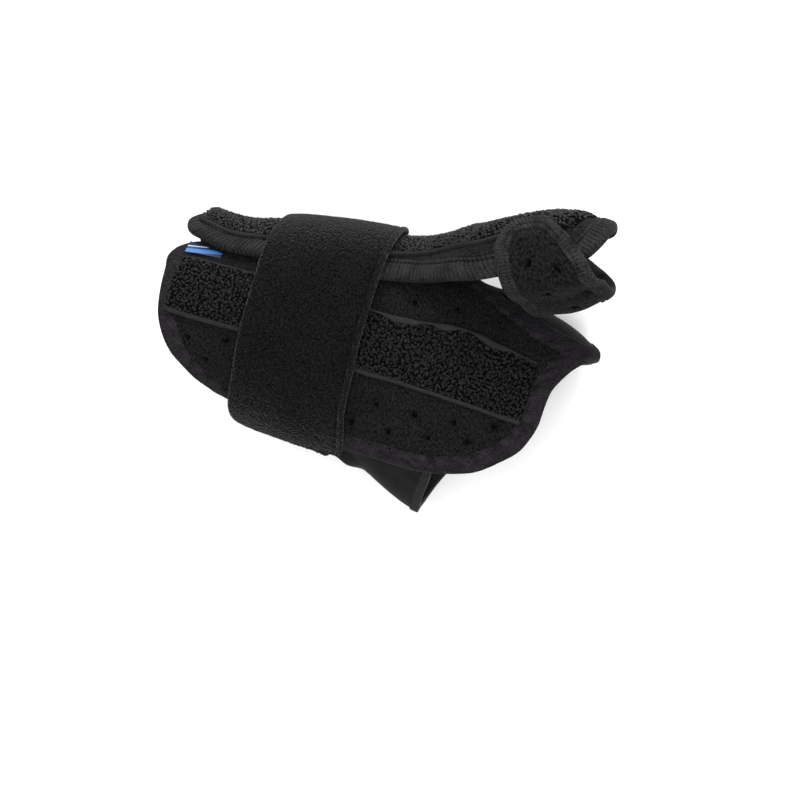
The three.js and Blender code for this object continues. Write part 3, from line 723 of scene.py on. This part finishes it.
# The binding is a woven ribbon folded over the raw edge and sewn, its weak ribs worn to a violet grey nap.
M_RIBBON = fabric("woven ribbon binding, folded and worn", "#0b0a0c", "#2a272a", 0.9, 0.03, 0.05, 0.3,
                  ((0.8, 0.9, 0.5), (2.0, 1.2, 0.25), (6, 3, 0.25)), ((1, 0.2, 1.15, 0.05, 0.5, 9),),
                  spread=0.16)
# The rib knit is elastic: rows of small stitches 0.8 mm apart. The light that each column catches is painted,
# as a lighter shade where the binding's relief rises.
M_RIB = fabric("elastic rib knit binding", "#060606", "#313132", 0.85, 0.02, 0.05, 0.3,
               ((0.6, 0.6, 0.7), (3, 3, 0.3)), ((0, 1, 0.8, 0.1, 0.3, 2.0),), shade_weight=0.45)
# Loop yarn is smooth curled nylon, so each curl has a small highlight; the black of the gap below it is
# painted shade on the ground.
M_YARN = fabric("loop pile, curled nylon yarn", "#020202", "#1f1f20", 0.42, 0.0, 0.24, 0.02,
                ((0.8, 0.8, 0.7), (8, 8, 0.3)), shade_weight=0.5)
# The ground under the loops is a dense woven tape with plain, lighter selvedges; its near-black end is
# painted shade between the loops.
M_GROUND = fabric("woven ground of the loop tape", "#050505", "#28282a", 0.95, 0.0, 0.02, 0.1,
                  ((0.7, 0.5, 0.7), (4, 2, 0.3)), ((1, 0, 0.9, 0.05, 0, 1),), shade_weight=0.9)
# Felt is needled fibre: matt, speckled at about 1 mm, lighter at its cut edges.
M_FELT = fabric("needled felt, brushed", "#010101", "#1b1b1c", 0.97, 0.14, 0.02, 0.6,
                ((0.8, 0.8, 0.7), (1.7, 1.7, 0.2), (9, 9, 0.1)), spread=0.14)
# Jersey is a fine smooth knit stretched over foam, with tiny columns along the hand.
M_JERSEY = fabric("smooth jersey knit on foam", "#0c0c0c", "#1a1a1b", 0.75, 0.03, 0.1, 0.06,
                  ((0.6, 0.6, 0.4), (8, 6, 0.6)), ((0, 1, 0.9, 0.03, 0, 1),))
# Overlock thread is twisted polyester; the gaps between its turns get painted shade from the hem's shade.
M_THREAD = fabric("overlock thread, twisted polyester", "#060607", "#262629", 0.7, 0.0, 0.2, 0.04,
                  ((0.8, 0.8, 0.7), (5, 5, 0.3)), shade_weight=0.6)
# Sewing thread shows paler where it crosses the surface.
M_STITCH = fabric("sewing thread, worn polyester", "#1a1a1c", "#77777b", 0.6, 0.0, 0.3, 0.02,
                  ((0.8, 0.8, 1.0),), shade_weight=0.5)
# The label is woven satin: a navy ground with a lighter blue band and one pale line.
M_LABEL = fabric("woven satin label", "#080e22", "#152850", 0.5, 0.0, 0.3, 0.05, ((1.2, 0.5, 1.0),),
                 ((0.3, 1, 0.6, 0.1, 0, 1),),
                 bands=((40.4, 0.22, 1.05, "#2a62a0"), (42.9, 0.22, 0.25, "#a9b6c6")))

# How finely the pieces are cut, mm: plain grids, grids with relief, and bindings along their run. A grid
# has its piece's rough length and width over one of these. PITCH is the distance between curls of the loop
# pile.
STEP = 1.0
FINE = 0.62
RIB_STEP = 0.3
PITCH = 1.06
HEM_COLUMNS = 1100


def raised(level, by):
    return lambda x, w: level(x, w) + by


def flat(d):
    return lambda x, w: d + 0 * x


def made_of(node_name=None):
    """Hides the part of model.glb with this name, if one is given."""
    if node_name:
        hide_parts(node_name)


def vent_places(rows):
    return [(x + n * dx, w + n * dw) for x, w, dx, dw, count in rows for n in range(count)]


def puffed(top, edge, rise):
    """Outer level of a padded panel: it sinks to its binding and rises by a share 1 - exp(-distance / 3.5
    mm), with lumps 2.3 mm apart."""
    def level(x, w):
        crown = rise * (1 - np.exp(-from_edge(x, w, edge) / 3.5))
        return top(x, w) + crown - 0.45 + 0.08 * lumps(x, w, 2.3, 3)
    return level


def folded(grooves, points=18):
    """Section of a folded binding: flat below, half an ellipse round its outer edge, a low crown, and a
    drop at its inner edge. grooves are rows of place across and depth, each 0.045 of the width wide."""
    roll = 0.16
    edge = np.linspace(-np.pi / 2, np.pi / 2, 8)[:-1]
    rolled = list(zip(roll * (1 - np.cos(edge)), 0.46 + 0.46 * np.sin(edge)))
    t = np.linspace(roll, 1, points)
    top = 0.92 + 0.08 * np.sin(np.pi * (t - roll) / (1 - roll)) - 0.45 * ramp((t - 0.94) / 0.06)
    for place, depth in grooves:
        top = top - depth * np.exp(-((t - place) / 0.045) ** 2)
    return [(1.0, 0.0), (0.6, 0.0)] + rolled + list(zip(t, top))


def scattered(rows, selvedges, skip, across=False):
    """Seeded places between a tape's selvedges: a square lattice, each place moved by up to a share of the
    pitch. selvedges(station) gives the widths of the near and the far selvedge, and skip(x, w) says where
    no place is."""
    jitter = 0.42
    first, last = rows[0][0], rows[-1][0]
    count = int((last - first) / PITCH)
    width = max(b - a for _, a, b in rows)
    stations = first + (np.arange(count) + 0.5) * (last - first) / count
    s, e = np.meshgrid(stations, np.arange(0, width, PITCH), indexing="ij")
    s = np.clip(s + rng.uniform(-jitter, jitter, s.shape) * PITCH, first + 0.2, last - 0.2)
    e = e + rng.uniform(-jitter, jitter, s.shape) * PITCH
    a, b = along(rows, s)
    ragged = 0.3 * np.sin(s / 3.7) + 0.2 * np.sin(s / 1.9 + 1)
    place = a + e
    near, far = selvedges(s)
    kept = (place > a + near + ragged) & (place < b - far - ragged)
    p = np.stack([place, s] if across else [s, place], -1)[kept]
    return p[~skip(*p.T)]


def past_selvedge(rows, x, w, selvedges, across=False):
    """How far a place lies past its tape's nearer selvedge, mm, and its share of the way across the tape."""
    station, place = (w, x) if across else (x, w)
    a, b = along(rows, station)
    near, far = selvedges(station)
    return np.minimum(place - a - near, b - place - far), np.clip((place - a) / (b - a), 0, 1)


def tape_top(rows, base, edge_mm, crown, selvedges, humps=(), across=False):
    """Outer level of a loop tape: raised selvedges, lower ground under the pile, crowned by crown mm over
    the middle. humps are places along the far selvedge where it stands up: middle, half length and height
    in mm."""
    def top(x, w):
        past, share = past_selvedge(rows, x, w, selvedges, across)
        station = w if across else x
        level = base(x, w) + edge_mm + crown * 4 * share * (1 - share) - 0.35 * ramp((past + 0.3) / 0.6)
        level = level + 0.18 * np.sin(station / 3.1) * np.exp(-np.abs(past) / 1.5)
        for middle, half, height in humps:
            level = level + height * np.exp(-((station - middle) / half) ** 4) * ramp((share - 0.86) / 0.08)
        return level
    return top


def tape_shade(rows, selvedges, across=False):
    """Light selvedges beside a ground painted black as the shade between the loops."""
    def shade(x, w):
        return 0.45 - 1.6 * ramp((past_selvedge(rows, x, w, selvedges, across)[0] + 0.2) / 0.4)
    return shade


def loop_tape(name, rows, grid, form, inner, top, selvedges, skip, curl, yarn, across=False):
    """A tape's ground, and its pile of curls wherever skip(x, w) doesn't hold."""
    ground = cloth(name + "_loop_strip", grid, form, inner, top, M_GROUND, 0.3,
                   shade=tape_shade(rows, selvedges, across))
    made_of(name + "_loop_strip")
    pile = curls(name + "_pile", scattered(rows, selvedges, skip, across), form, top, curl, yarn)
    made_of()


def under_strap(x, _):
    """Where the wrist strap hides the loop tapes."""
    return (x > -18) & (x < 21)


# Volar panel, its binding, and the loop tape over its stay pocket.
volar_edge = outline(VOLAR_OUTLINE)
volar_face = inset(volar_edge, VOLAR_BINDING + EDGE_AIR)
grid = inside(volar_face, VOLAR_CORNERS, 160, 72, FINE)
volar = cloth("volar_panel", grid, on_limb, volar_level, puffed(volar_top, volar_face, 0.7), M_VELOUR, 0.1,
              vents=vent_places(VOLAR_VENTS))
made_of("volar_panel")


def ribbon_relief(run, across):
    """Soft waves along the inner edge of a folded ribbon, where the seam pulls it in, and faint lumps
    elsewhere."""
    pulled = 0.16 * np.sin(run / 1.5 + 0.9 * np.sin(run / 7)) * np.exp(-((across - 6.4) / 1.3) ** 2)
    return pulled + 0.12 * lumps(run, across, 4, 11) + 0.07 * lumps(run, across, 1.3, 12)


def ribbon_edge_highlight(x, w):
    """Painted highlight: the folded edge is paler along the ulnar side and at the web."""
    return 1.6 * np.maximum((x > 24) & (x < 68) & (w < -20), (x > 98) & (w > 38))


def stitches_show(x, w):
    """Where paler stitches cross the ribbon's inner edge: beside the palm and at the web."""
    return (x > 88) & ((w > 3) | (w < -6)) | (w > 33) & (x > 66) & (x < 84)


SEAM_PLACE = 0.84
volar_bind = bead("volar_binding", volar_edge, VOLAR_CORNERS, VOLAR_BINDING, on_limb, volar_level,
                  raised(volar_top, 0.25), STEP * 0.6, M_RIBBON, folded(((SEAM_PLACE, 0.12),)), ribbon_relief,
                  worn=ribbon_edge_highlight)
made_of("volar_binding")
seam_path = inset(volar_edge, VOLAR_BINDING * SEAM_PLACE)
seam_path = np.vstack([seam_path, seam_path[:1]])
volar_seam = stitches("volar_seam", seam_path, on_limb, raised(volar_top, 0.1), 2.1, 1.4, 0.4, 0.09, -1.3)
made_of()
pale_path = inset(volar_edge, VOLAR_BINDING * 0.98)
volar_pale = stitches("volar_pale_stitches", pale_path, on_limb, raised(volar_top, 0.12), 3.6, 1.5, 0.9, 0.08,
                      -0.9, 0.45, stitches_show)
made_of()

VOLAR_HUMPS = ((39, 7, 0.8), (56.5, 4.5, 0.8), (76, 7, 0.5))


def volar_selvedges(x):
    """The lower selvedge is even; the upper one widens where it stands up in humps."""
    return 1.7, 0.8 + 1.7 * sum(np.exp(-((x - middle) / half) ** 4) for middle, half, _ in VOLAR_HUMPS)


volar_loop_top = tape_top(VOLAR_LOOP, volar_top, 1.5, 1.0, volar_selvedges, VOLAR_HUMPS)
loop_tape("volar", VOLAR_LOOP, tape(VOLAR_LOOP, int(154 / FINE), int(30 / FINE)), on_limb,
          raised(volar_top, -0.5), volar_loop_top, volar_selvedges, under_strap, 0.62, 0.21)

label = cloth("label", tape(LABEL, 40, 20), on_limb, raised(volar_top, 0.2), raised(volar_top, 0.6), M_LABEL,
              0.1)
made_of("label")

# Dorsal panel, which the splint lies on, and its overlocked hem.
distal = np.vstack([np.asarray(DORSAL_DISTAL, float), past_rear(DORSAL_DISTAL_REAR)])
rear = past_rear(DORSAL_REAR)
near = np.vstack([[DORSAL_ULNAR[0]], [(-62, -110)], rear[:1]])
grid = between(curve(DORSAL_ULNAR, 400), curve(rear, 400), curve(near, 200), curve(distal, 400),
               int(170 / STEP), int(170 / STEP))


def dorsal_top(x, w):
    """Jersey over foam: small soft dents all over, 9 and 3.5 mm apart."""
    return dorsal_level(x, w) + DORSAL_THICK + 0.12 * lumps(x, w, 9, 21) + 0.05 * lumps(x, w, 3.5, 22)


dorsal = cloth("dorsal_panel", grid, on_limb, dorsal_level, dorsal_top, M_JERSEY, 0.2)
made_of("dorsal_panel")

hem_in = curve(distal, 400) + (0.1, 0)
hem_out = hem_in + (HEM_WIDTH + 0.5, 0)
hem_grid = between(hem_in, hem_out, np.stack([hem_in[0], hem_out[0]]), np.stack([hem_in[-1], hem_out[-1]]),
                   HEM_COLUMNS, 8)


def overlock(x, w):
    """Slanting threads 1.25 mm apart, from -1 in their gaps to 1."""
    return np.sin(2 * np.pi * (w + 0.5 * x) / 1.25)


def hem_top(x, w):
    """Overlocked edge, which stands 0.35 mm over the cloth, give or take 0.28 mm."""
    return dorsal_level(x, w) + DORSAL_THICK + 0.35 + 0.28 * overlock(x, w)


# The hem's shade follows its threads: painted shade in the gaps between the turns.
hem = cloth("dorsal_hem", hem_grid, on_limb, dorsal_level, hem_top, M_THREAD, 0.6, side_steps=4,
            shade=lambda x, w: 0.6 * overlock(x, w))
made_of("dorsal_hem")

# Radial panel with its knitted rib binding and loop tape.
radial_edge = outline(RADIAL_OUTLINE)


def narrowed(x):
    """The rib binding is narrower at its near nose and round the thumb."""
    return 1 - 0.38 * ramp((x - 92) / 12) - 0.3 * ramp((-30 - x) / 20)


radial_face = inset(radial_edge, RADIAL_BINDING + EDGE_AIR, narrowed)
radial_top = AIR + RADIAL_THICK
grid = inside(radial_face, RADIAL_CORNERS, 165, 48, STEP)
# The radial panel is the palm side's velour painted 0.3 lighter: painted light where it faces the key lamp.
radial = cloth("radial_panel", grid, on_radial, flat(AIR), puffed(flat(radial_top), radial_face, 0.7),
               M_VELOUR, 0.1, shade=flat(0.3))
made_of("radial_panel")


def rib_relief(run, across):
    """Round columns across the band, 2 mm apart with narrow gaps, each of leaning stitches 0.8 mm apart, on
    faint lumps."""
    column = np.abs(np.cos(np.pi * run / 2.0)) ** 0.7
    stitch = np.sin(2 * np.pi * (across + 0.5 * column) / 0.8)
    knit = (0.3 * column - 0.2 + 0.09 * stitch * column) * ramp((across + 0.4) / 1.2)
    return knit + 0.1 * lumps(run, across, 5, 31)


radial_bind = bead("radial_binding", radial_edge, RADIAL_CORNERS, RADIAL_BINDING, on_radial, flat(AIR),
                   flat(radial_top + 0.5), RIB_STEP, M_RIB, folded(((0.76, 0.22),), 40), rib_relief, narrowed)
made_of("radial_binding")


def radial_selvedges(_):
    return 1.3, 1.1


tape_from, tape_to = RADIAL_LOOP[0][0], RADIAL_LOOP[-1][0]


def tape_end(v):
    """The tape is cut slantwise along the binding round the thumb, 4.5 mm shorter at its palm edge."""
    return tape_to - 4.5 * np.clip((v + 5) / 17, 0, 1)


def hidden(x, v):
    """Where the radial tape has no pile: under the wrist strap and past its slanting end."""
    return under_strap(x, v) | (x > tape_end(v))


radial_tape_level = tape_top(RADIAL_LOOP, flat(radial_top + 0.8), 1.1, 0.25, radial_selvedges)


def radial_loop_top(x, v):
    """The tape's level, drawn down by its end seam round the thumb."""
    return radial_tape_level(x, v) - 1.5 * ramp((x - tape_end(v) + 3.5) / 3.5)


grid = tape(RADIAL_LOOP, int(162 / STEP), int(26 / FINE))
kept_run = tape_end(grid[..., 1]) - tape_from
grid[..., 0] = tape_from + (grid[..., 0] - tape_from) * kept_run / (tape_to - tape_from)
loop_tape("radial", RADIAL_LOOP, grid, on_radial, flat(radial_top - 0.5), radial_loop_top, radial_selvedges,
          hidden, 0.66, 0.22)

# Loose yarn at the tape's near corner.
fray_places = np.stack([rng.uniform(-57.5, -54, 16), rng.uniform(-9, -4, 16)], -1)
fray = curls("radial_fray", fray_places, on_radial, radial_loop_top, 1.3, 0.1)
made_of()

# Thumb strap and its folded binding, which a sewn groove parts into two ridges.
thumb_edge = outline(THUMB_STRAP_OUTLINE)
thumb_face = inset(thumb_edge, THUMB_BINDING + EDGE_AIR)
grid = inside(thumb_face, THUMB_STRAP_CORNERS, 30, 84, FINE)
thumb_top = puffed(raised(thumb_strap_level, THUMB_STRAP_THICK), thumb_face, 0.5)
thumb = cloth("thumb_strap", grid, on_thumb, thumb_strap_level, thumb_top, M_VELOUR, 0.1,
              vents=vent_places(THUMB_VENTS))
made_of("thumb_strap")


def thumb_relief(run, across):
    """Fine ribs across the band and a pulled seam along its inner ridge."""
    fine = 0.1 * np.sin(2 * np.pi * run / 1.1) * ramp((across - 0.3) / 1.2)
    pulled = 0.1 * np.sin(run / 1.3) * np.exp(-((across - 4.9) / 0.7) ** 2)
    return fine + pulled + 0.1 * lumps(run, across, 4, 41)


thumb_bind = bead("thumb_strap_binding", thumb_edge, THUMB_STRAP_CORNERS, THUMB_BINDING, on_thumb,
                  thumb_strap_level, raised(thumb_strap_level, THUMB_STRAP_THICK + 0.35), RIB_STEP, M_RIB,
                  folded(((0.66, 0.2),), 24), thumb_relief)
made_of("thumb_strap_binding")


# Wrist strap and the loop tape that its free end closes on.
def ulnar_selvedges(_):
    return 1.0, 1.0


ulnar_top = tape_top(ULNAR_LOOP, ulnar_loop_level, LOOP_THICK, 0, ulnar_selvedges, across=True)
loop_tape("ulnar", ULNAR_LOOP, tape(ULNAR_LOOP, int(45 / STEP), int(35 / FINE), True), on_limb,
          ulnar_loop_level, ulnar_top, ulnar_selvedges, lambda x, w: w > -38, 0.62, 0.21, across=True)

STRAP_SEAM = 2.4


def strap_top(x, w):
    """Felt: lumps of 1.3 and 8 mm, a sewn groove beside the finger side's edge, and that edge a little
    raised."""
    edge = along(WRIST_STRAP, w)[1] - x
    groove = 0.42 * np.exp(-((edge - STRAP_SEAM) / 0.45) ** 2) - 0.16 * ramp((2.2 - edge) / 1.2)
    return strap_level(x, w) + STRAP_THICK - groove + 0.09 * lumps(x, w, 1.3, 51) + 0.14 * lumps(x, w, 8, 52)


def strap_shade(x, w):
    """Both cut edges are lighter, and the groove is darker, painted shade in the sewn groove."""
    a, b = along(WRIST_STRAP, w)
    return 0.8 * np.exp(-np.minimum(x - a, b - x) / 0.5) - 0.5 * np.exp(-((b - x - STRAP_SEAM) / 0.4) ** 2)


strap = cloth("wrist_strap", tape(WRIST_STRAP, int(118 / FINE), int(50 / FINE), True), on_limb, strap_level,
              strap_top, M_FELT, 0.6, side_steps=4, shade=strap_shade)
made_of("wrist_strap")

# Floor, light and camera.
bpy.ops.mesh.primitive_plane_add(size=6, location=(0.03, 0, -0.0003))
floor = bpy.context.object
floor.name = "floor"
# Matt paper, evenly lit.
paper = bpy.data.materials.new("plain pale floor")
paper.use_nodes = True
shader = paper.node_tree.nodes["Principled BSDF"]
shader.inputs["Base Color"].default_value = linear("#f6f6f6")
shader.inputs["Roughness"].default_value = 0.9
floor.data.materials.append(paper)


def lamp(name, place, size, power):
    """Square softbox aimed at the splint."""
    data = bpy.data.lights.new(name, "AREA")
    data.size = size
    data.energy = power
    made = bpy.data.objects.new(name, data)
    made.location = place
    made.rotation_euler = (Vector((0.04, 0, 0.02)) - Vector(place)).to_track_quat("-Z", "Y").to_euler()
    bpy.context.scene.collection.objects.link(made)


lamp("key", (-0.2, 1.0, 0.5), 0.9, 20)
lamp("fill", (0.5, -0.8, 1.0), 1.2, 11)
lamp("top", (0.1, 0.05, 1.4), 1.2, 12)

world = bpy.data.worlds.new("studio")
bpy.context.scene.world = world
world.use_nodes = True
sky = world.node_tree.nodes["Background"]
sky.inputs["Color"].default_value = (1, 1, 1, 1)
sky.inputs["Strength"].default_value = 0.5
bpy.context.scene.view_settings.view_transform = "Standard"

# The camera looks down at TARGET from DISTANCE and sees FIELD across there, all in metres. It leans off the
# vertical along x and y, and its picture is turned by ROLL. SENSOR is in mm.
TARGET = Vector((0.0446, -0.0156, 0.030))
DISTANCE = 0.7
FIELD = 0.336
SENSOR = 36
LEAN = np.radians(8.0)
ROLL = np.radians(16.0)
back = Vector((np.sin(LEAN), np.sin(LEAN), 0))
back.z = np.sqrt(1 - back.dot(back))
up_hint = Vector((-np.sin(ROLL), np.cos(ROLL), 0))
right = up_hint.cross(back).normalized()
up = back.cross(right)
camera = bpy.data.objects.new("camera", bpy.data.cameras.new("camera"))
camera.data.lens = SENSOR * DISTANCE / FIELD
camera.data.sensor_width = SENSOR
camera.matrix_world = Matrix((right, up, back)).transposed().to_4x4()
camera.location = TARGET + back * DISTANCE
bpy.context.scene.collection.objects.link(camera)
bpy.context.scene.camera = camera
